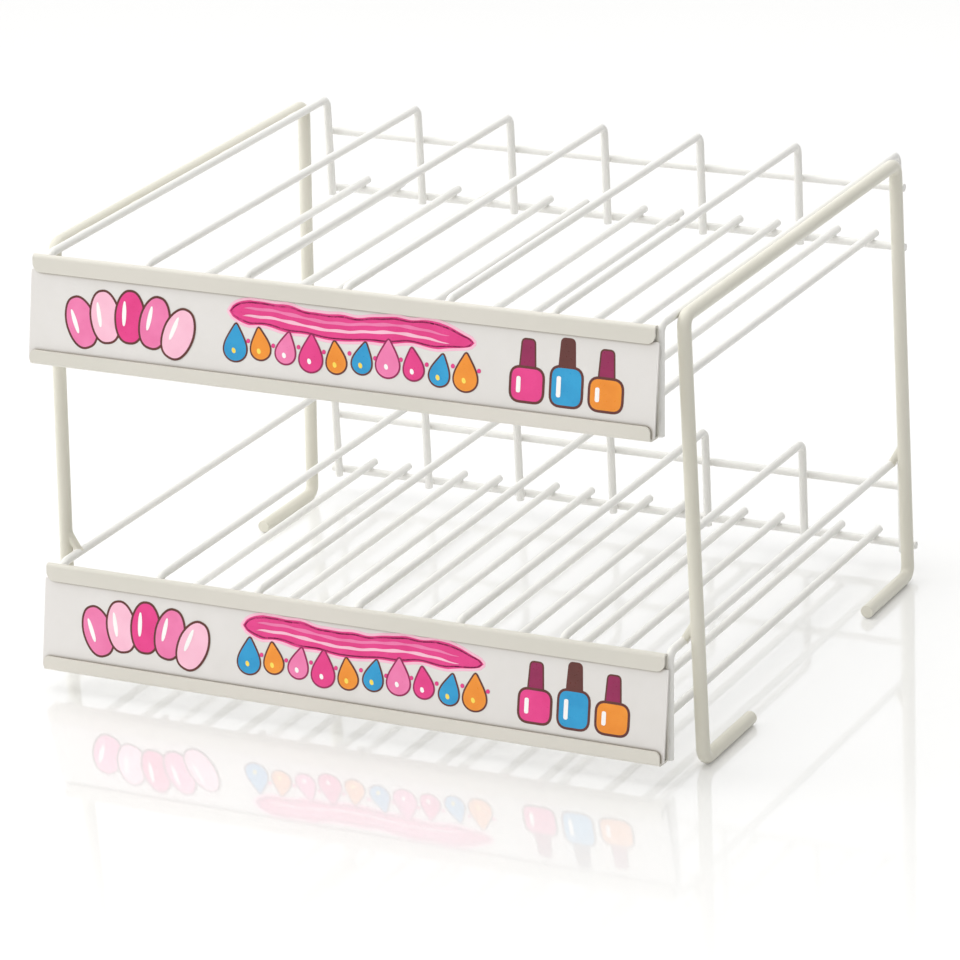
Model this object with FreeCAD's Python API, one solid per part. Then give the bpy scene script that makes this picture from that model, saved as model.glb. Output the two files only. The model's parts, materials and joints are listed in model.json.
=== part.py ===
import FreeCAD, Part
import os
from math import atan, cos, degrees, sin, sqrt, tan

Vector = FreeCAD.Vector

# Two-tier countertop rack of powder-coated wire. Millimetres, +X to the right, +Y to the back, +Z up.
# The origin is the middle of the footprint, on the surface that the feet stand on.

# Wire stock, measured over the coating; bend radii are those of the centre line
heavy_wire = 4.8
light_wire = 3.0
heavy_bend = 3.9
light_bend = 3.4
cut_end_round = 0.35

# Shelf layout
lane_count = 6
upper_lane_pitch = 39.0
lower_pitch_excess = 0.5
shelf_depth = 201.0
divider_rise = 36.0
back_wire_drop = 13.4
floor_wire_spacing = 15.0
floor_wire_overrun = 2.6
front_leg_slope = 0.08
rear_leg_overrun = 0.5
upper_floor_cross_overhang = 0.0
lower_floor_cross_overhang = 2.8

# Tiers: height of the divider rails, and how far the lower shelf stands in front of the upper one
upper_rail_height = 158.0
lower_rail_height = 44.5
lower_set_forward = 5.2

# Label channel of folded sheet, flat on the leaning front legs. It is welded on a little to the left:
# well past the centre line of the left end leg, and just past that of the right one.
# Its depths are measured over the sheet, from the back of the plate to the front of each lip.
sheet = 0.8
sheet_inner_bend = 0.5
channel_height = 38.4
channel_above_rail = 0.5
channel_past_left_leg = 4.2
channel_past_right_leg = 0.1
top_lip = 6.2
top_lip_depth = 2.9
top_lip_corner_round = 3.0
bottom_lip = 5.2
bottom_lip_depth = 6.9
bottom_lip_corner_round = 2.0

# Label card: it stands on the channel's floor against the bottom lip, and leans back behind the top lip
card_thickness = 0.8
card_height = 32.1
card_past_channel = 1.1
card_lip_gap = 0.2
card_floor_gap = 0.3
card_corner_round = 0.5

# Side frames: one bent heavy wire each, leaning back a little and standing wider at the feet
front_upright_setback = 9.8
rear_upright_inset = 11.0
foot_length = 39.0
feet_forward = 5.0
feet_outward = 4.0

# Struts that hold the lower shelf: one from each upright down to the end rail beside it
strut_wire = 2.8
strut_rise = 8.5

# Places that follow from the sizes above
heavy_r = heavy_wire / 2
light_r = light_wire / 2
upper_half = lane_count * upper_lane_pitch / 2
lower_half = lane_count * (upper_lane_pitch + lower_pitch_excess) / 2
upright_spacing = shelf_depth - front_upright_setback - rear_upright_inset
cross_wire_behind_leg = light_wire
leg_lean = atan(front_leg_slope)
sheet_outer_bend = sheet_inner_bend + sheet
channel_below_rail = channel_height - channel_above_rail
last_fold_forward = light_r + bottom_lip_depth - sheet_outer_bend
last_fold_drop = channel_below_rail - sheet_outer_bend
channel_reach = last_fold_forward * cos(leg_lean) + last_fold_drop * sin(leg_lean) + sheet_outer_bend
front_face = lower_set_forward + channel_reach
back_tip = shelf_depth + cross_wire_behind_leg + light_r + floor_wire_overrun
origin_y = (back_tip - front_face) / 2
frame_half = upper_half + light_r + heavy_r
frame_drop = upper_rail_height - heavy_r


def frame_x(height):
    """Distance of a side frame's centre line from the middle plane, at a height."""
    return frame_half + feet_outward * (upper_rail_height - height) / frame_drop


def upright_y(height):
    """Place of the front upright's centre line behind the upper front legs, at a height."""
    return front_upright_setback - feet_forward * (upper_rail_height - height) / frame_drop


TIERS = {
    "upper": dict(
        rail=upper_rail_height,
        y=0.0,
        half=upper_half,
        cross_overhang=upper_floor_cross_overhang,
    ),
    "lower": dict(
        rail=lower_rail_height,
        y=-lower_set_forward,
        half=lower_half,
        cross_overhang=lower_floor_cross_overhang,
    ),
}


def at(x, y, z):
    """A point given from the upper front legs, moved to the part's own origin."""
    return Vector(x, y - origin_y, z)


def leaned(solid, tier):
    """A piece drawn on upright front legs, turned about their top corner to the lean that they have."""
    turned = solid.copy()
    turned.rotate(at(0, tier["y"], tier["rail"]), Vector(1, 0, 0), -degrees(leg_lean))
    return turned


def rounded_path(corners, closed=False):
    """Straight runs joined by tangent arcs. Each corner is a point and its bend radius."""
    count = len(corners)
    starts, ends, bends = [], [], []
    for i, (point, radius) in enumerate(corners):
        is_end = not closed and i in (0, count - 1)
        if is_end or radius == 0:
            starts.append(point)
            ends.append(point)
            bends.append(None)
            continue
        back = (corners[i - 1][0] - point).normalize()
        ahead = (corners[(i + 1) % count][0] - point).normalize()
        half_angle = back.getAngle(ahead) / 2
        reach = radius / tan(half_angle)
        bisector = (back + ahead).normalize()
        to_arc = sqrt(radius ** 2 + reach ** 2) - radius
        starts.append(point + back * reach)
        ends.append(point + ahead * reach)
        bends.append(Part.Arc(point + back * reach, point + bisector * to_arc, point + ahead * reach))
    edges = []
    for i in range(count):
        if bends[i] is not None:
            edges.append(bends[i].toShape())
        following = (i + 1) % count
        last = i == count - 1
        if (closed or not last) and ends[i].distanceToPoint(starts[following]) > 1e-6:
            edges.append(Part.LineSegment(ends[i], starts[following]).toShape())
    return Part.Wire(edges)


def round_cut_ends(solid, points, radius):
    """The burr-free rim that the coating gives a cut wire end."""
    rims = []
    for edge in solid.Edges:
        if isinstance(edge.Curve, Part.Circle) and edge.isClosed():
            if any(edge.Curve.Center.distanceToPoint(p) < 1e-4 for p in points):
                rims.append(edge)
    return solid.makeFillet(radius, rims)


def bent_wire(corners, diameter):
    """A round wire along straight runs and bends, with its cut ends rounded."""
    path = rounded_path(corners)
    first, second = corners[0][0], corners[1][0]
    section = Part.Wire([Part.makeCircle(diameter / 2, first, second - first)])
    solid = path.makePipeShell([section], True, False)
    return round_cut_ends(solid, [first, corners[-1][0]], cut_end_round)


def straight_wire(start, end, diameter):
    """A cut length of wire."""
    along = end - start
    solid = Part.makeCylinder(diameter / 2, along.Length, start, along)
    return round_cut_ends(solid, [start, end], cut_end_round)


def divider(x, tier):
    """Leaning front leg, rail and rear leg of one lane divider, bent from one light wire."""
    foot_forward = channel_below_rail * sin(leg_lean)
    front_foot = tier["rail"] - channel_below_rail * cos(leg_lean)
    rear_foot = tier["rail"] - divider_rise - light_r - rear_leg_overrun
    rear = tier["y"] + shelf_depth
    corners = [
        (at(x, tier["y"] - foot_forward, front_foot), 0),
        (at(x, tier["y"], tier["rail"]), light_bend),
        (at(x, rear, tier["rail"]), light_bend),
        (at(x, rear, rear_foot), 0),
    ]
    return bent_wire(corners, light_wire)


def cross_wire(drop, overhang, tier):
    """A wire across the back of all rear legs, a drop below the divider rails."""
    end = tier["half"] + light_r + overhang
    y = tier["y"] + shelf_depth + cross_wire_behind_leg
    z = tier["rail"] - drop
    return straight_wire(at(-end, y, z), at(end, y, z), light_wire)


def floor_wire(x, tier):
    """A wire that the bottles stand on, cut flush to the channel's back, to just past the floor cross wire."""
    drop = divider_rise - light_wire
    z = tier["rail"] - drop
    front = tier["y"] - drop * front_leg_slope - light_wire
    rear = tier["y"] + back_tip
    wire = straight_wire(at(x, front, z), at(x, rear, z), light_wire)
    corner = at(x - light_wire, tier["y"] - light_r - 2 * light_wire, z - 2 * light_wire)
    ahead = Part.makeBox(2 * light_wire, 2 * light_wire, 4 * light_wire, corner)
    return wire.cut(leaned(ahead, tier)).Solids[0]


def channel_ends(tier):
    """Left and right end of a tier's label channel, across the rack."""
    return -tier["half"] - channel_past_left_leg, tier["half"] + channel_past_right_leg


def lip_end_edges(solid, y, z):
    """The short edges across the sheet at the two free corners of a lip."""
    found = []
    for edge in solid.Edges:
        box = edge.BoundBox
        across_sheet = box.YLength > sheet - 0.01 and box.XLength < 0.01 and box.ZLength < 0.01
        middle = edge.CenterOfMass
        if across_sheet and abs(middle.y - at(0, y, 0).y) < 0.01 and abs(middle.z - z) < 0.01:
            found.append(edge)
    return found


def label_channel(tier):
    """Folded sheet: a back plate with a shallow lip down from its top and a deep lip up from its bottom."""
    back = tier["y"] - light_r
    top_front = back - top_lip_depth
    bottom_front = back - bottom_lip_depth
    top = tier["rail"] + channel_above_rail
    bottom = top - channel_height
    left, right = channel_ends(tier)
    outer = sheet_outer_bend
    inner = sheet_inner_bend
    outline = [
        (top_front, top - top_lip, 0), (top_front, top, outer), (back, top, outer),
        (back, bottom, outer), (bottom_front, bottom, outer), (bottom_front, bottom + bottom_lip, 0),
        (bottom_front + sheet, bottom + bottom_lip, 0), (bottom_front + sheet, bottom + sheet, inner),
        (back - sheet, bottom + sheet, inner), (back - sheet, top - sheet, inner),
        (top_front + sheet, top - sheet, inner), (top_front + sheet, top - top_lip, 0),
    ]
    section = rounded_path([(at(left, y, z), radius) for y, z, radius in outline], closed=True)
    solid = Part.Face(section).extrude(Vector(right - left, 0, 0))
    solid = solid.makeFillet(top_lip_corner_round, lip_end_edges(solid, top_front + sheet / 2, top - top_lip))
    edges = lip_end_edges(solid, bottom_front + sheet / 2, bottom + bottom_lip)
    return leaned(solid.makeFillet(bottom_lip_corner_round, edges), tier)


def label_card(tier):
    """Printed card, a little longer than the channel: it leans behind the lips and slides out at either end."""
    left, right = channel_ends(tier)
    front = tier["y"] - light_r - bottom_lip_depth + sheet + card_lip_gap
    bottom = tier["rail"] - channel_below_rail + sheet + card_floor_gap
    to_top_lip = channel_height - top_lip - sheet - card_floor_gap
    lean = atan((bottom_lip_depth - top_lip_depth) / to_top_lip)
    corner = at(left - card_past_channel, front, bottom)
    solid = Part.makeBox(right - left + 2 * card_past_channel, card_thickness, card_height, corner)
    corners = [e for e in solid.Edges if e.BoundBox.YLength > card_thickness - 0.01
               and e.BoundBox.XLength < 0.01 and e.BoundBox.ZLength < 0.01]
    solid = solid.makeFillet(card_corner_round, corners)
    solid.rotate(corner, Vector(1, 0, 0), -degrees(lean))
    return leaned(solid, tier)


def side_frame(side):
    """One side's feet, uprights and top rail, bent from one heavy wire; side is -1 or 1."""
    low = heavy_r
    high = upper_rail_height
    foot_x = side * frame_x(low)
    top_x = side * frame_x(high)
    front_low = upright_y(low)
    rear_low = front_low + upright_spacing
    front_high = upright_y(high)
    rear_high = front_high + upright_spacing
    corners = [
        (at(foot_x, front_low + foot_length, low), 0),
        (at(foot_x, front_low, low), heavy_bend),
        (at(top_x, front_high, high), heavy_bend),
        (at(top_x, rear_high, high), heavy_bend),
        (at(foot_x, rear_low, low), heavy_bend),
        (at(foot_x, rear_low - foot_length, low), 0),
    ]
    return bent_wire(corners, heavy_wire)


def shelf_strut(side, place, frame, rail):
    """Short wire coped and welded between an upright's inner side and the lower shelf's end rail."""
    low = lower_rail_height
    high = low + strut_rise
    y = upright_y(high)
    if place == "rear":
        y += upright_spacing
    start = at(side * lower_half, y, low)
    end = at(side * frame_x(high), y, high)
    solid = Part.makeCylinder(strut_wire / 2, start.distanceToPoint(end), start, end - start)
    middle = (start + end) / 2
    coped = solid.cut(frame).cut(rail).Solids
    return min(coped, key=lambda piece: piece.CenterOfMass.distanceToPoint(middle))


def tier_pieces(name, tier):
    """All wires, the channel and the card of one shelf, by name."""
    pieces = {}
    pitch = 2 * tier["half"] / lane_count
    for i in range(lane_count + 1):
        pieces[f"{name}_divider_wire_{i + 1}"] = divider(-tier["half"] + i * pitch, tier)
    for i in range(lane_count):
        middle = -tier["half"] + (i + 0.5) * pitch
        for side, offset in (("left", -floor_wire_spacing / 2), ("right", floor_wire_spacing / 2)):
            pieces[f"{name}_lane_{i + 1}_{side}_floor_wire"] = floor_wire(middle + offset, tier)
    pieces[f"{name}_back_stop_wire"] = cross_wire(back_wire_drop, 0, tier)
    pieces[f"{name}_floor_cross_wire"] = cross_wire(divider_rise, tier["cross_overhang"], tier)
    pieces[f"{name}_label_channel"] = label_channel(tier)
    pieces[f"{name}_label_card"] = label_card(tier)
    return pieces


def all_pieces():
    """Every separate piece of the rack, by node name."""
    pieces = {}
    for name, tier in TIERS.items():
        pieces.update(tier_pieces(name, tier))
    end_rails = {"left": "lower_divider_wire_1", "right": f"lower_divider_wire_{lane_count + 1}"}
    for side_name, side in (("left", -1), ("right", 1)):
        frame = side_frame(side)
        rail = pieces[end_rails[side_name]]
        pieces[f"{side_name}_side_frame"] = frame
        for place in ("front", "rear"):
            pieces[f"{side_name}_{place}_shelf_strut"] = shelf_strut(side, place, frame, rail)
    return pieces


os.makedirs("parts", exist_ok=True)
for node, solid in all_pieces().items():
    solid.exportStep(f"parts/{node}.step")
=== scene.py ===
import json
import math

import bmesh
import bpy
from mathutils import Matrix, Vector


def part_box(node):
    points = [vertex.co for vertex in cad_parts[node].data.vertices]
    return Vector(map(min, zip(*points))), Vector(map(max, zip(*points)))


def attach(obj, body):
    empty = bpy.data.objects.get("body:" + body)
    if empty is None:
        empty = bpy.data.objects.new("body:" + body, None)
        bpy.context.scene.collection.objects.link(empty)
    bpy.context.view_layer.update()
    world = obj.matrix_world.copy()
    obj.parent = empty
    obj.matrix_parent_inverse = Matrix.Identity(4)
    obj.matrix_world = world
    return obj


# The looks of a two-tier wire rack: coatings, weld fillets, printed cards, table, light and camera.
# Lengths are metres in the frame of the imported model. Only the printed design is in millimetres.

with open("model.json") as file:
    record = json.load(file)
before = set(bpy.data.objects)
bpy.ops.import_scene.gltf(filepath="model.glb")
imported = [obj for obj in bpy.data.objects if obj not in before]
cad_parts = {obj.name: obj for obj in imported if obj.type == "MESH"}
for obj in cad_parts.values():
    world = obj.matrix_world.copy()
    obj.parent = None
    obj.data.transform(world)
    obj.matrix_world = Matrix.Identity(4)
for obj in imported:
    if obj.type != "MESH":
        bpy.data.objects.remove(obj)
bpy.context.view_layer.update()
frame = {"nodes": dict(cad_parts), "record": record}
NODES = frame["nodes"]
CARD_BODIES = {"upper": "upper_card", "lower": "lower_card"}
DIVIDERS = range(1, 8)
LANES = range(1, 7)
X, Y, Z = Vector((1, 0, 0)), Vector((0, 1, 0)), Vector((0, 0, 1))

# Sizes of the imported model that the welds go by
LEG_LEAN = 0.08
LEG_LENGTH = 0.0379
LEG_DOWN = Vector((0, -LEG_LEAN, -1)).normalized()
LEG_FORWARD = Vector((0, LEG_DOWN.z, -LEG_DOWN.y))
FRAME_R, STRUT_R = 0.0024, 0.0014
STRUT_RUN, STRUT_RISE = 0.0051, 0.0085
UPRIGHT_INWARD, UPRIGHT_BACKWARD = 0.0257, 0.0321


# Materials

AO_SAMPLES = 16


def colour(red, green, blue):
    """A colour as it looks on screen, in the shader's linear values."""
    def linear(v):
        v /= 255
        return v / 12.92 if v <= 0.04045 else ((v + 0.055) / 1.055) ** 2.4
    return (linear(red), linear(green), linear(blue), 1.0)


def tinted(tone, red, green, blue):
    """A tone with each channel taken down to a share of itself."""
    return tuple(c * k for c, k in zip(tone, (red, green, blue, 1.0)))


class Nodes:
    """Short calls for a material's node tree."""

    def __init__(self, name):
        self.material = bpy.data.materials.new(name)
        self.material.use_nodes = True
        self.tree = self.material.node_tree
        self.tree.nodes.clear()
        self.out = self.add("ShaderNodeOutputMaterial")
        self.where = self.add("ShaderNodeTexCoord").outputs["Object"]

    def add(self, kind, **inputs):
        node = self.tree.nodes.new(kind)
        for key, value in inputs.items():
            node.inputs[key.replace("_", " ")].default_value = value
        return node

    def link(self, a, b):
        self.tree.links.new(a, b)

    def noise(self, scale, detail=2.0, roughness=0.5, distortion=0.0):
        n = self.add("ShaderNodeTexNoise", Scale=scale, Detail=detail)
        n.inputs["Roughness"].default_value = roughness
        n.inputs["Distortion"].default_value = distortion
        self.link(self.where, n.inputs["Vector"])
        return n.outputs["Fac"]

    def span(self, value, low, high, to_low=0.0, to_high=1.0):
        """A value's span from low to high, mapped to another and held at its ends."""
        m = self.add(
            "ShaderNodeMapRange", From_Min=low, From_Max=high, To_Min=to_low, To_Max=to_high)
        self.link(value, m.inputs["Value"])
        return m.outputs["Result"]

    def shade_mask(self, distance, low, high, most):
        """Mask for painted shade: 0 in the open, and up to most where other surfaces lie within the
        distance.
        """
        corner = self.add("ShaderNodeAmbientOcclusion", Distance=distance)
        corner.samples = AO_SAMPLES
        return self.span(corner.outputs["AO"], low, high, to_low=most, to_high=0.0)

    def blend(self, amount, first, second):
        m = self.tree.nodes.new("ShaderNodeMix")
        m.data_type = "RGBA"
        self.link(amount, m.inputs[0])
        for socket, value in ((m.inputs[6], first), (m.inputs[7], second)):
            if isinstance(value, tuple):
                socket.default_value = value
            else:
                self.link(value, socket)
        return m.outputs[2]

    def bump(self, height, distance, strength):
        b = self.add("ShaderNodeBump", Strength=strength, Distance=distance)
        self.link(height, b.inputs["Height"])
        return b.outputs["Normal"]

    def surface(self, body, roughness, normal, **constants):
        """The principled shader that shows the material."""
        shader = self.add("ShaderNodeBsdfPrincipled", **constants)
        for socket, source in (("Base Color", body), ("Roughness", roughness), ("Normal", normal)):
            self.link(source, shader.inputs[socket])
        self.link(shader.outputs[0], self.out.inputs[0])


def powder_coat(name, tone, shade, gloss_low, gloss_high):
    """Baked powder coat: nearly smooth, with a slow drift in tone, and painted shade, darker and
    warmer, in corners where other surfaces lie close.
    """
    n = Nodes(name)
    drift = n.span(n.noise(scale=14.0), 0.35, 0.65)
    # Painted shade: the coat's colour turns darker and warmer where other surfaces lie within 1.2
    # mm.
    corner_shade = n.shade_mask(distance=0.0012, low=0.1, high=0.6, most=0.5)
    body = n.blend(corner_shade, n.blend(drift, tone, shade), tinted(shade, 0.60, 0.57, 0.50))
    roughness = n.span(n.noise(scale=60.0), 0.3, 0.7, gloss_low, gloss_high)
    peel = n.bump(n.noise(scale=700.0, roughness=0.45), distance=0.000004, strength=0.3)
    n.surface(body, roughness, peel, IOR=1.5, Specular_IOR_Level=0.35)
    return n.material


def card_stock(name, tone, shade):
    """Coated card: faint fibre cloud, slight sheen, and a painted shadow, a dark line where a lip
    holds it.
    """
    n = Nodes(name)
    cloud = n.span(n.noise(scale=60.0, detail=4.0, roughness=0.6), 0.3, 0.7)
    fibre = n.noise(scale=1500.0, detail=3.0, roughness=0.6, distortion=1.2)
    # Painted shadow: the card turns dark brown where a lip or the plate lies within 1.4 mm.
    lip_shadow = n.shade_mask(distance=0.0014, low=0.45, high=0.9, most=1.0)
    body = n.blend(lip_shadow, n.blend(cloud, tone, shade), tinted(shade, 0.40, 0.34, 0.26))
    roughness = n.span(fibre, 0.3, 0.7, 0.34, 0.46)
    n.surface(body, roughness, n.bump(fibre, distance=0.00002, strength=0.5), IOR=1.46)
    return n.material


def ink(name, tone, deep):
    """Printed ink: its tone drifts a little, over a fine mottle."""
    n = Nodes(name)
    drift = n.span(n.noise(scale=140.0), 0.3, 0.7)
    mottle = n.noise(scale=1900.0)
    roughness = n.span(mottle, 0.3, 0.7, 0.27, 0.40)
    normal = n.bump(mottle, distance=0.00001, strength=0.4)
    n.surface(n.blend(drift, tone, deep), roughness, normal, IOR=1.48)
    return n.material


MATERIALS = {
    "frame_coat": powder_coat(
        "frame_powder_coat", colour(223, 220, 208), colour(217, 214, 200), 0.28, 0.32),
    # Same powder coat as the side frames. The shelf wires' lighter colour is painted light, for the
    # white surroundings and the light from above.
    "wire_coat": powder_coat(
        "wire_powder_coat_painted_light", colour(238, 237, 234), colour(234, 233, 229), 0.28, 0.32),
    "channel_coat": powder_coat(
        "channel_powder_coat", colour(218, 214, 205), colour(213, 210, 200), 0.33, 0.38),
    "label_card": card_stock("label_card_stock", colour(226, 223, 220), colour(222, 219, 215)),
}
INK_TONES = {
    "pink": ((240, 128, 178), (234, 116, 168)),
    "blush": ((250, 196, 216), (246, 186, 208)),
    "magenta": ((232, 62, 140), (224, 52, 130)),
    "crimson": ((150, 22, 84), (138, 18, 76)),
    "brown": ((98, 44, 38), (88, 38, 32)),
    "blue": ((40, 160, 212), (30, 148, 202)),
    "orange": ((242, 150, 44), (234, 138, 34)),
    "yellow": ((250, 226, 96), (246, 216, 82)),
    "white": ((252, 250, 248), (248, 246, 244)),
}
INK_ORDER = list(INK_TONES)
INKS = [
    ink(f"ink_{name}", colour(*tone), colour(*deep))
    for name, (tone, deep) in INK_TONES.items()]


def dress_cad_nodes():
    """Every CAD node keeps its shape and takes its slot's material."""
    for part in frame["record"]["subparts"]:
        node = NODES[part["node"]]
        node.data.materials.clear()
        node.data.materials.append(MATERIALS[part["material_slot"]])
        for face in node.data.polygons:
            face.material_index = 0


def new_piece(name, bm, materials, body, smooth=True):
    """A mesh piece of the object, riding on a body."""
    mesh = bpy.data.meshes.new(name)
    bmesh.ops.recalc_face_normals(bm, faces=bm.faces)
    bm.to_mesh(mesh)
    bm.free()
    for material in materials:
        mesh.materials.append(material)
    if smooth:
        mesh.shade_smooth()
    piece = bpy.data.objects.new(name, mesh)
    bpy.context.scene.collection.objects.link(piece)
    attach(piece, body)


# Welds. Each one is the fillet that the coating leaves round a welded contact. Its edges lie a
# little inside the surfaces that it joins, by its seat, so that no slit shows. The sines of a place
# make each one slightly different.

SEAT, CROSSING_SEAT = 0.00003, 0.00004
LEG_SPOTS = (0.009, 0.031)
LEG_SPOT_SEAT = 0.0001
LEG_SPOT_SIZES = (0.00125, 0.0034, 0.00034)
RAIL_BEAD_SIZES = (0.00115, 0.0055, 0.0005)
RAIL_BEADS_BETWEEN = (-0.035, 0.03)
FIRST_BEAD_FROM_FRONT, LAST_BEAD_FROM_REAR = 0.022, 0.016
STRUT_INSIDE = 0.4  # share of a strut's run from which both its fillets are drawn


def strip(bm, rings):
    """Closed rings of points joined into one band."""
    made = [[bm.verts.new(p) for p in ring] for ring in rings]
    count = len(made[0])
    for a, b in zip(made, made[1:]):
        for i in range(count):
            j = (i + 1) % count
            bm.faces.new((a[i], a[j], b[j], b[i]))
    return made


def circle(steps):
    """The angles of even steps round a circle."""
    return [2 * math.pi * i / steps for i in range(steps)]


def band(bm, steps, point, rows=6):
    """A fillet's surface. The function point gives its place at a t from 0 to 1 and an angle."""
    strip(bm, [[point(k / rows, angle) for angle in circle(steps)] for k in range(rows + 1)])


def sides(axis):
    """Two directions square to an axis and to each other."""
    side = axis.orthogonal().normalized()
    return side, axis.cross(side)


def hollow(t, r, flare, height):
    """Radius and height of a hollow fillet round a wire, from its foot at t = 0 to its top at 1."""
    out = r - SEAT + flare * (1 - math.sin(math.pi / 2 * t))
    up = height * (1 - math.cos(math.pi / 2 * t)) - SEAT
    return out, up


def crossing_fillet(bm, contact, r, along_a, along_b, to_b):
    """Saddle between two wires of radius r that cross at right angles and touch at a point."""
    reach, ripple, narrowing = 0.92, 0.06, 0.16

    def point(t, angle):
        size = r * reach * (1 + ripple * math.sin(3 * angle + 40 * contact.x))
        u, w = size * math.cos(angle), size * math.sin(angle)
        low = -r + math.sqrt(max(r * r - w * w, 0)) - CROSSING_SEAT
        high = r - math.sqrt(max(r * r - u * u, 0)) + CROSSING_SEAT
        waist = 1 - narrowing * math.sin(math.pi * t)
        rise = low + (high - low) * t
        return contact + along_a * u * waist + along_b * w * waist + to_b * rise

    band(bm, 28, point)


def collar(bm, foot, axis, r, flare, height):
    """Concave ring round a wire of radius r where it meets a surface at foot."""
    side, other = sides(axis)
    uneven = 0.04 * (1 + 0.05 * math.sin(5000 * foot.x))

    def point(t, angle):
        out, up = hollow(t, r, flare, height)
        spread = out * (1 + uneven * math.sin(2 * angle + 900 * foot.x) * (1 - t))
        rim = foot + side * spread * math.cos(angle) + other * spread * math.sin(angle)
        return rim + axis * up

    band(bm, 24, point)


def branch_fillet(bm, start, axis, r, host, host_axis, host_r, flare, height):
    """Fillet band where a wire of radius r, running along axis, goes into a round host wire."""
    side, other = sides(axis)
    across = axis - host_axis * axis.dot(host_axis)

    def point(t, angle):
        out, back = hollow(t, r, flare, height)
        p = start + side * out * math.cos(angle) + other * out * math.sin(angle)
        off = p - host
        off -= host_axis * off.dot(host_axis)
        a, b, c = across.dot(across), off.dot(across), off.dot(off) - host_r ** 2
        to_host = (-b - math.sqrt(max(b * b - a * c, 0))) / a
        return p + axis * (to_host - back)

    band(bm, 28, point)


def pad(bm, middle, across, along, outward, sizes):
    """Soft lens-shaped bead in the crevice along two touching pieces. Its sizes are half ones."""
    width, length, depth = sizes
    steps, rows = 20, 10
    rings = []
    for k in range(1, rows):
        lat = math.pi * k / rows - math.pi / 2
        ring = []
        for lon in circle(steps):
            swell = 1 + 0.07 * math.sin(3 * lon + 700 * middle.x + 300 * middle.z)
            ring.append(
                middle
                + across * width * math.cos(lat) * math.cos(lon) * swell
                + outward * depth * math.cos(lat) * math.sin(lon)
                + along * length * math.sin(lat)
            )
        rings.append(ring)
    made = strip(bm, rings)
    for ring, sign in ((made[0], -1), (made[-1], 1)):
        tip = bm.verts.new(middle + along * length * sign)
        for i in range(steps):
            bm.faces.new((ring[i], ring[(i + 1) % steps], tip))


def shelf_welds(tier):
    """Rear and floor wire crossings, butt joints on the plate, and spots on the front legs."""
    bm = bmesh.new()
    stop_low, stop_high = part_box(f"{tier}_back_stop_wire")
    cross_low, cross_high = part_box(f"{tier}_floor_cross_wire")
    r = (stop_high.z - stop_low.z) / 2
    foot_low, foot_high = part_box(f"{tier}_divider_wire_4")
    leg_top = Vector((0, foot_low.y + r + LEG_LENGTH * -LEG_DOWN.y, foot_high.z - r))
    for i in DIVIDERS:
        low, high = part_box(f"{tier}_divider_wire_{i}")
        x = (low.x + high.x) / 2
        for wire_low, wire_high in ((stop_low, stop_high), (cross_low, cross_high)):
            contact = Vector((x, wire_low.y, (wire_low.z + wire_high.z) / 2))
            crossing_fillet(bm, contact, r, Z, X, Y)
        for down in LEG_SPOTS:
            spot = leg_top + LEG_DOWN * down + LEG_FORWARD * (r - LEG_SPOT_SEAT)
            pad(bm, Vector((x, spot.y, spot.z)), X, LEG_DOWN, LEG_FORWARD, LEG_SPOT_SIZES)
    for i in LANES:
        for side in ("left", "right"):
            low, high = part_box(f"{tier}_lane_{i}_{side}_floor_wire")
            x = (low.x + high.x) / 2
            contact = Vector((x, (cross_low.y + cross_high.y) / 2, cross_high.z))
            crossing_fillet(bm, contact, r, X, Y, Z)
            on_plate = Vector((x, low.y + r * LEG_LEAN, (low.z + high.z) / 2))
            collar(bm, on_plate, Y, r, flare=0.0007, height=0.0011)
    new_piece(f"{tier}_shelf_weld_fillets", bm, [MATERIALS["wire_coat"]], "rack")


def strut_welds(bm, side, sign, place):
    """Fillets where a strut meets its upright and the lower shelf's end rail."""
    low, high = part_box(f"{side}_{place}_shelf_strut")
    rail_low, rail_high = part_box("lower_divider_wire_" + ("1" if sign < 0 else "7"))
    rail_r = (rail_high.x - rail_low.x) / 2
    foot = Vector(((rail_low.x + rail_high.x) / 2, (low.y + high.y) / 2, rail_high.z - rail_r))
    run = Vector((sign * STRUT_RUN, 0, STRUT_RISE))
    upright = Vector((-sign * UPRIGHT_INWARD, UPRIGHT_BACKWARD, 1)).normalized()
    axis, inside = run.normalized(), foot + run * STRUT_INSIDE
    branch_fillet(
        bm, inside, axis, STRUT_R, foot + run, upright, FRAME_R, flare=0.0006, height=0.0013)
    branch_fillet(bm, inside, -axis, STRUT_R, foot, Y, rail_r, flare=0.0003, height=0.0010)


def frame_welds():
    """Beads between the side rails and the upper end wires, and the fillets of the struts."""
    bm = bmesh.new()
    for side, sign in (("left", -1), ("right", 1)):
        low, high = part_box(f"{side}_side_frame")
        wire_low, wire_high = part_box("upper_divider_wire_" + ("1" if sign < 0 else "7"))
        light_r = (wire_high.x - wire_low.x) / 2
        rail = Vector((0, 0, high.z - FRAME_R))
        wire = Vector(((wire_low.x + wire_high.x) / 2, 0, wire_high.z - light_r))
        rail.x = wire.x + sign * math.sqrt((FRAME_R + light_r) ** 2 - (wire.z - rail.z) ** 2)
        between = (rail - wire).normalized()
        upward = between.cross(Y) * -sign
        first, last = low.y + FIRST_BEAD_FROM_FRONT, high.y - LAST_BEAD_FROM_REAR
        for y in (first, *RAIL_BEADS_BETWEEN, last):
            pad(bm, wire + between * light_r + Y * y, upward, Y, between, RAIL_BEAD_SIZES)
        for place in ("front", "rear"):
            strut_welds(bm, side, sign, place)
    new_piece("side_frame_weld_beads", bm, [MATERIALS["frame_coat"]], "rack")


# The printed design, in millimetres: nail-shaped chips, a brush stroke, drops and bottles

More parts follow.
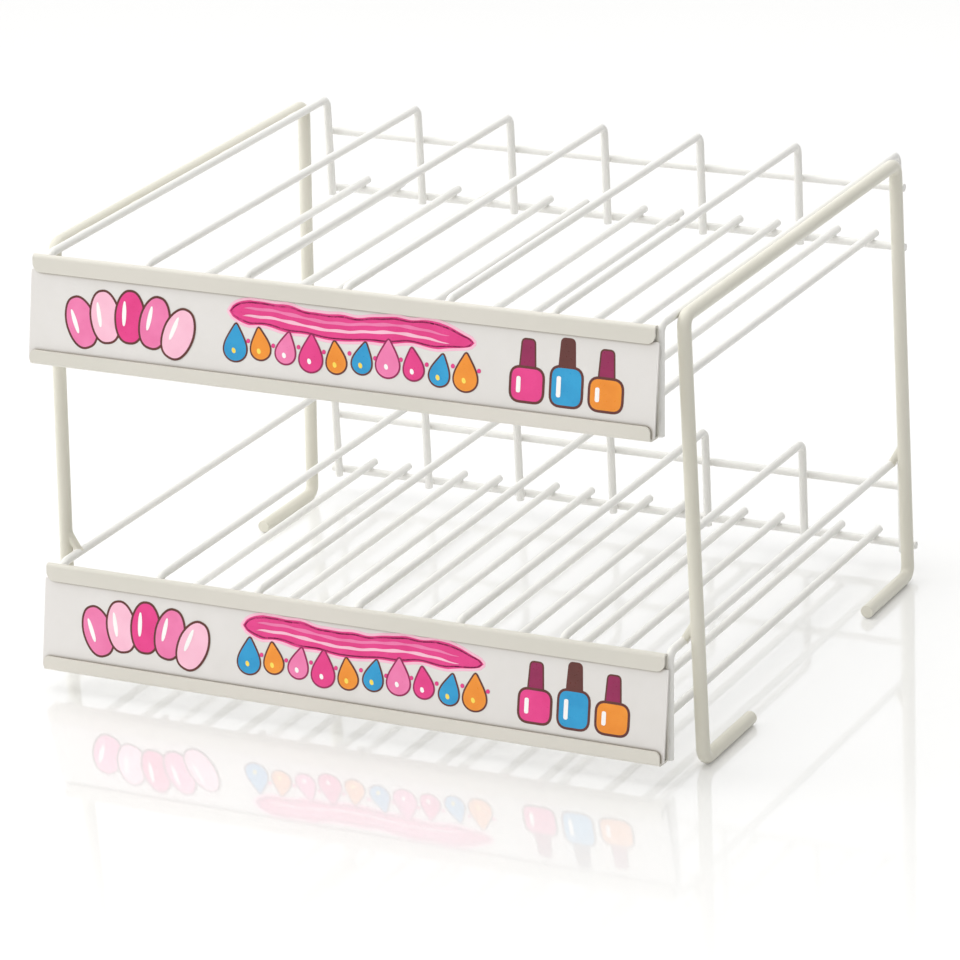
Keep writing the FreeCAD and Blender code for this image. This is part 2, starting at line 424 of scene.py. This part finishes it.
MM = 0.001
FIRST_LAYER, LAYER = 0.00002, 0.000018
CORNER_STEPS = 6
NO_TURN = 0.0
FAN = (("pink", -22), ("blush", -11), ("magenta", 0), ("pink", 11), ("blush", 22))
FAN_CHIP, FAN_RADIUS = (11.0, 17.4), 52
DROPS = (
    "blue", "orange", "pink", "magenta", "orange", "blue", "pink", "magenta", "blue", "orange")
LARGE_DROP, SMALL_DROP = 9.4, 8.0


def rounded_polygon(points, radius):
    """Outline of a polygon with its corners rounded."""
    out = []
    count = len(points)
    for i in range(count):
        p = Vector(points[i])
        a = Vector(points[i - 1]) - p
        b = Vector(points[(i + 1) % count]) - p
        cut = min(radius, a.length * 0.49, b.length * 0.49)
        start, end = p + a.normalized() * cut, p + b.normalized() * cut
        for k in range(CORNER_STEPS + 1):
            t = k / CORNER_STEPS
            out.append(start * (1 - t) ** 2 + p * 2 * t * (1 - t) + end * t ** 2)
    return out


def grown(outline, amount):
    """The outline moved outward by an amount, for borders."""
    after = outline[1:] + outline[:1]
    area = sum(p.x * q.y - q.x * p.y for p, q in zip(outline, after))
    sign = 1 if area > 0 else -1
    out = []
    for before, p, q in zip(outline[-1:] + outline[:-1], outline, after):
        tangent = q - before
        if tangent.length < 1e-9:
            tangent = Vector((1, 0))
        normal = Vector((tangent.y, -tangent.x)).normalized() * sign
        out.append(p + normal * amount)
    return out


def turned(outline, angle, at):
    c, s = math.cos(angle), math.sin(angle)
    return [Vector((p.x * c - p.y * s + at[0], p.x * s + p.y * c + at[1])) for p in outline]


def scaled(outline, factors, shift):
    return [Vector((p.x * factors[0] + shift[0], p.y * factors[1] + shift[1])) for p in outline]


def nail_chip(width, height, steps=40):
    """Rounded almond: a fingernail-shaped colour chip."""
    toward_tip, toward_root = 0.20, 0.04
    side_fullness, end_fullness = 0.78, 0.9
    out = []
    for a in circle(steps):
        x, y = math.cos(a), math.sin(a)
        squeeze = 1 - toward_tip * max(y, 0) ** 1.5 - toward_root * max(-y, 0)
        across = width / 2 * math.copysign(abs(x) ** side_fullness, x) * squeeze
        up = height / 2 * math.copysign(abs(y) ** end_fullness, y)
        out.append(Vector((across, up)))
    return out


def drop(size):
    """A drop with its point up."""
    sharpness, narrowing, stretch = 2.6, 0.72, 0.34
    out = []
    for a in circle(36):
        pull = (0.5 + 0.5 * math.sin(a)) ** sharpness
        across = size * 0.5 * math.cos(a) * (1 - narrowing * pull)
        up = size * (0.5 * math.sin(a) + stretch * pull)
        out.append(Vector((across, up)))
    return out


def brush_stroke(length, height):
    """A wavy band with ragged ends, as a brush leaves."""
    steps, waves, phase, sway, ragged = 70, 1.5, 0.1, 0.9, 0.07
    top, bottom = [], []
    for k in range(steps + 1):
        t = k / steps
        x = (t - 0.5) * length
        middle = sway * math.sin(2 * math.pi * (waves * t + phase))
        taper = min(1.0, (t * 12) ** 0.5, ((1 - t) * 7) ** 0.5)
        half = height / 2 * taper * (1 + ragged * math.sin(31 * t + 4 * phase))
        top.append(Vector((x, middle + half + 0.15 * math.sin(57 * t))))
        bottom.append(Vector((x, middle - half + 0.12 * math.sin(43 * t + 1))))
    return top + bottom[::-1]


class Print:
    """Flat ink shapes in thin layers just proud of a card's face."""

    def __init__(self, card):
        self.bm = bmesh.new()
        front = [f for f in card.data.polygons if f.normal.y < -0.9]
        self.outward = sum((f.normal * f.area for f in front), Vector()).normalized()
        self.up = self.outward.cross(X).normalized()
        if self.up.z < 0:
            self.up.negate()
        corners = [card.data.vertices[i].co for f in front for i in f.vertices]
        xs = [p.x for p in corners]
        ups = [p.dot(self.up) for p in corners]
        across = corners[0].dot(self.outward)
        middle_x, middle_up = (min(xs) + max(xs)) / 2, (min(ups) + max(ups)) / 2
        self.origin = X * middle_x + self.up * middle_up + self.outward * across

    def lay(self, outline, ink_name, layer):
        """One flat shape of ink. A higher layer covers a lower one."""
        out = self.outward * (FIRST_LAYER + LAYER * layer)
        verts = [
            self.bm.verts.new(self.origin + X * (p.x * MM) + self.up * (p.y * MM) + out)
            for p in outline]
        face = self.bm.faces.new(verts)
        face.material_index = INK_ORDER.index(ink_name)
        bmesh.ops.triangulate(self.bm, faces=[face])

    def outlined(self, outline, fill, line, width, layer):
        """A shape with a border under it, on two layers."""
        self.lay(grown(outline, width), line, layer)
        self.lay(outline, fill, layer + 1)


def nail_fan(p, x, y):
    """Five nail-shaped colour chips, fanned out, each with a shine mark."""
    for k, (tone, tilt) in enumerate(FAN):
        angle = math.radians(-tilt)
        at = (x - FAN_RADIUS * math.sin(angle), y - FAN_RADIUS + FAN_RADIUS * math.cos(angle))
        p.outlined(turned(nail_chip(*FAN_CHIP), angle, at), tone, "brown", 0.8, 2 * k)
        shine = scaled(nail_chip(*FAN_CHIP), (0.15, 0.5), (-2.3, 1.0))
        p.lay(turned(shine, angle, at), "white", 2 * k + 2)


def wavy_stroke(p, x, y, length, height):
    """One broad brush stroke with two paler streaks in it."""
    glow = brush_stroke(length + 2, height + 2)
    p.outlined(turned(glow, NO_TURN, (x, y)), "magenta", "blush", 0.9, 0)
    p.outlined(turned(brush_stroke(length, height), NO_TURN, (x, y)), "magenta", "crimson", 0.5, 1)
    for up, tone in ((height * 0.22, "pink"), (-height * 0.17, "blush")):
        streak = brush_stroke(length * 0.86, height * 0.15)
        p.lay(turned(streak, NO_TURN, (x - 2, y + up)), tone, 4)


def drop_row(p, x, y, step):
    """Drops of polish in a slightly uneven row, with dots between them."""
    for k, tone in enumerate(DROPS):
        at = (x + step * k, y + 0.8 * math.sin(1.3 * k))
        pinkish = tone in ("pink", "magenta")
        shape = drop(LARGE_DROP if k % 3 == 0 else SMALL_DROP)
        tilt = math.radians(10 * math.sin(2.1 * k))
        p.outlined(turned(shape, tilt, at), tone, "crimson" if pinkish else "brown", 0.6, 4)
        gleam = scaled(nail_chip(6, 8), (0.24, 0.24), (-1.0, -0.9))
        p.lay(turned(gleam, 0.4, at), "white" if pinkish else "yellow", 6)
        dot_at = (at[0] + step / 2, y + 2.6 - 0.6 * (k % 2))
        p.lay(turned(nail_chip(1.5, 1.5, steps=18), NO_TURN, dot_at), "magenta", 4)


def bottle(p, x, base, size, tone, cap):
    """A small polish bottle: body, tall cap and a gleam."""
    wide, tall = size
    left, right, top = x - wide / 2, x + wide / 2, base + tall
    body = [(left, base), (right, base), (right, top), (left, top)]
    neck = [(x - 2.7, top - 0.6), (x + 2.7, top - 0.6), (x + 2.1, top + 9.6), (x - 2.1, top + 9.6)]
    gleam = [
        (left + 1.8, base + 2.5), (left + 3.4, base + 2.5), (left + 3.4, top - 2.8),
        (left + 1.8, top - 2.8)]
    p.outlined(rounded_polygon(neck, 1.2), cap, "brown", 0.6, 0)
    p.outlined(rounded_polygon(body, 3.2), tone, "brown", 0.9, 2)
    p.lay(rounded_polygon(gleam, 0.8), "white", 5)


def draw_design(p):
    """The whole printed design, from the card's middle."""
    nail_fan(p, x=-80, y=3.2)
    wavy_stroke(p, x=6, y=9.0, length=92, height=6.6)
    drop_row(p, x=-38, y=-2.6, step=9.8)
    bottles = (
        (73, (11.4, 10.8), "magenta", "crimson"),
        (87.5, (10.8, 12.4), "blue", "brown"),
        (102, (11.4, 10.2), "orange", "crimson"),
    )
    for x, size, tone, cap in bottles:
        bottle(p, x, -8.6, size, tone, cap)


def print_card(tier, body):
    p = Print(NODES[f"{tier}_label_card"])
    draw_design(p)
    new_piece(f"{tier}_card_printed_design", p.bm, INKS, body, smooth=False)


# Stage: white glossy table, soft light, and the camera of the photograph

TABLE_SIZE, TABLE_DROP = 6.0, 0.0002
TABLE_LIFT = 0.14
TABLE_FRONT = (0.469, -0.883, 0)
LIGHTS = (
    ("overhead_softbox", (-0.15, 0.15, 1.2), (0, 0, 0.05), (1.4, 1.2), 8.5),
    ("front_softbox", (-0.1, -1.7, 1.0), (0, 0, 0.08), (1.8, 1.3), 4.4),
    ("left_softbox", (-1.4, -0.5, 0.7), (0, 0, 0.1), (0.9, 1.2), 6.5),
)
WORLD_LEFT, WORLD_RIGHT = 1.1, 0.28
CAMERA_DEGREES = (28.011, 20.419, -2.903)
CAMERA_AIM = Vector((0, 0.0042, 0.09))
AIM_TO_RIGHT, AIM_DOWN, AIM_AHEAD = 0.003256, -0.03399, 1.784579
PHOTO_PIXELS, FOCAL_PIXELS, SENSOR_MM = 960, 4985.367, 36


def mixed(tree, amount, first, second):
    """Two shaders, mixed by an amount."""
    mix = tree.nodes.new("ShaderNodeMixShader")
    for socket, source in zip(mix.inputs, (amount, first, second)):
        tree.links.new(source, socket)
    return mix.outputs[0]


def table_material():
    """Matt white, polished near the rack. To the camera it is a little brighter than it is lit."""
    n = Nodes("table_white")
    cloud = n.span(n.noise(scale=3.0), 0.3, 0.7)
    tone = n.blend(cloud, (0.93, 0.93, 0.925, 1), (0.91, 0.91, 0.905, 1))
    matt = n.add("ShaderNodeBsdfPrincipled", Roughness=0.25, IOR=1.3)
    n.link(tone, matt.inputs["Base Color"])
    polish = n.add("ShaderNodeBsdfGlossy", Color=(1, 1, 1, 1), Roughness=0.045)
    toward_front = n.tree.nodes.new("ShaderNodeVectorMath")
    toward_front.operation = "DOT_PRODUCT"
    toward_front.inputs[1].default_value = TABLE_FRONT
    n.link(n.where, toward_front.inputs[0])
    share = n.span(toward_front.outputs["Value"], 0.10, 0.32, to_low=0.30, to_high=0.02)
    polished = mixed(n.tree, share, matt.outputs[0], polish.outputs[0])
    white = n.add("ShaderNodeEmission", Color=(1, 1, 1, 1), Strength=1.0)
    lift = n.tree.nodes.new("ShaderNodeMath")
    lift.operation = "MULTIPLY"
    lift.inputs[1].default_value = TABLE_LIFT
    n.link(n.add("ShaderNodeLightPath").outputs["Is Camera Ray"], lift.inputs[0])
    n.link(mixed(n.tree, lift.outputs[0], polished, white.outputs[0]), n.out.inputs[0])
    return n.material


def make_table():
    bm = bmesh.new()
    bmesh.ops.create_grid(bm, x_segments=1, y_segments=1, size=TABLE_SIZE)
    mesh = bpy.data.meshes.new("table")
    bm.to_mesh(mesh)
    bm.free()
    mesh.materials.append(table_material())
    floor = bpy.data.objects.new("table", mesh)
    floor.location.z = -TABLE_DROP
    bpy.context.scene.collection.objects.link(floor)


def make_world():
    """White for the camera and reflections. As a light it falls off from the left to the right."""
    world = bpy.data.worlds.new("studio")
    bpy.context.scene.world = world
    world.use_nodes = True
    tree = world.node_tree
    tree.nodes.clear()
    out = tree.nodes.new("ShaderNodeOutputWorld")
    seen = tree.nodes.new("ShaderNodeBackground")
    seen.inputs["Color"].default_value = (1, 1, 1, 1)
    seen.inputs["Strength"].default_value = 1.0
    lit = tree.nodes.new("ShaderNodeBackground")
    lit.inputs["Color"].default_value = (1.0, 0.995, 0.98, 1)
    way = tree.nodes.new("ShaderNodeTexCoord")
    apart = tree.nodes.new("ShaderNodeSeparateXYZ")
    tree.links.new(way.outputs["Generated"], apart.inputs["Vector"])
    fall = tree.nodes.new("ShaderNodeMapRange")
    fall.inputs["From Min"].default_value = -1.0
    fall.inputs["To Min"].default_value = WORLD_LEFT
    fall.inputs["To Max"].default_value = WORLD_RIGHT
    tree.links.new(apart.outputs["X"], fall.inputs["Value"])
    tree.links.new(fall.outputs["Result"], lit.inputs["Strength"])
    path = tree.nodes.new("ShaderNodeLightPath")
    shown = path.outputs["Is Camera Ray"]
    for other in ("Is Glossy Ray", "Is Transmission Ray"):
        either = tree.nodes.new("ShaderNodeMath")
        either.operation = "MAXIMUM"
        tree.links.new(shown, either.inputs[0])
        tree.links.new(path.outputs[other], either.inputs[1])
        shown = either.outputs[0]
    tree.links.new(mixed(tree, shown, lit.outputs[0], seen.outputs[0]), out.inputs[0])


def make_lights():
    for name, at, target, size, power in LIGHTS:
        data = bpy.data.lights.new(name, "AREA")
        data.shape = "RECTANGLE"
        data.size, data.size_y = size
        data.energy = power
        lamp = bpy.data.objects.new(name, data)
        lamp.location = at
        lamp.rotation_euler = (Vector(target) - Vector(at)).to_track_quat("-Z", "Y").to_euler()
        bpy.context.scene.collection.objects.link(lamp)


def make_camera():
    """Solved on the wires of the photograph: a long lens, front right and above."""
    yaw, pitch, roll = (math.radians(a) for a in CAMERA_DEGREES)
    level_cos = math.cos(pitch)
    forward = Vector((-math.sin(yaw) * level_cos, math.cos(yaw) * level_cos, -math.sin(pitch)))
    level = Vector((math.cos(yaw), math.sin(yaw), 0))
    down = forward.cross(level)
    right = level * math.cos(roll) - down * math.sin(roll)
    down = level * math.sin(roll) + down * math.cos(roll)
    place = CAMERA_AIM - right * AIM_TO_RIGHT - down * AIM_DOWN - forward * AIM_AHEAD
    data = bpy.data.cameras.new("photo_camera")
    data.sensor_width = SENSOR_MM
    data.lens = SENSOR_MM * FOCAL_PIXELS / PHOTO_PIXELS
    data.clip_start, data.clip_end = 0.05, 30
    camera = bpy.data.objects.new("photo_camera", data)
    camera.matrix_world = Matrix((
        (right.x, -down.x, -forward.x, place.x),
        (right.y, -down.y, -forward.y, place.y),
        (right.z, -down.z, -forward.z, place.z),
        (0, 0, 0, 1),
    ))
    bpy.context.scene.collection.objects.link(camera)
    bpy.context.scene.camera = camera


dress_cad_nodes()
for tier_name, card_body in CARD_BODIES.items():
    shelf_welds(tier_name)
    print_card(tier_name, card_body)
frame_welds()
make_table()
make_world()
make_lights()
make_camera()
bpy.context.scene.view_settings.view_transform = "Standard"
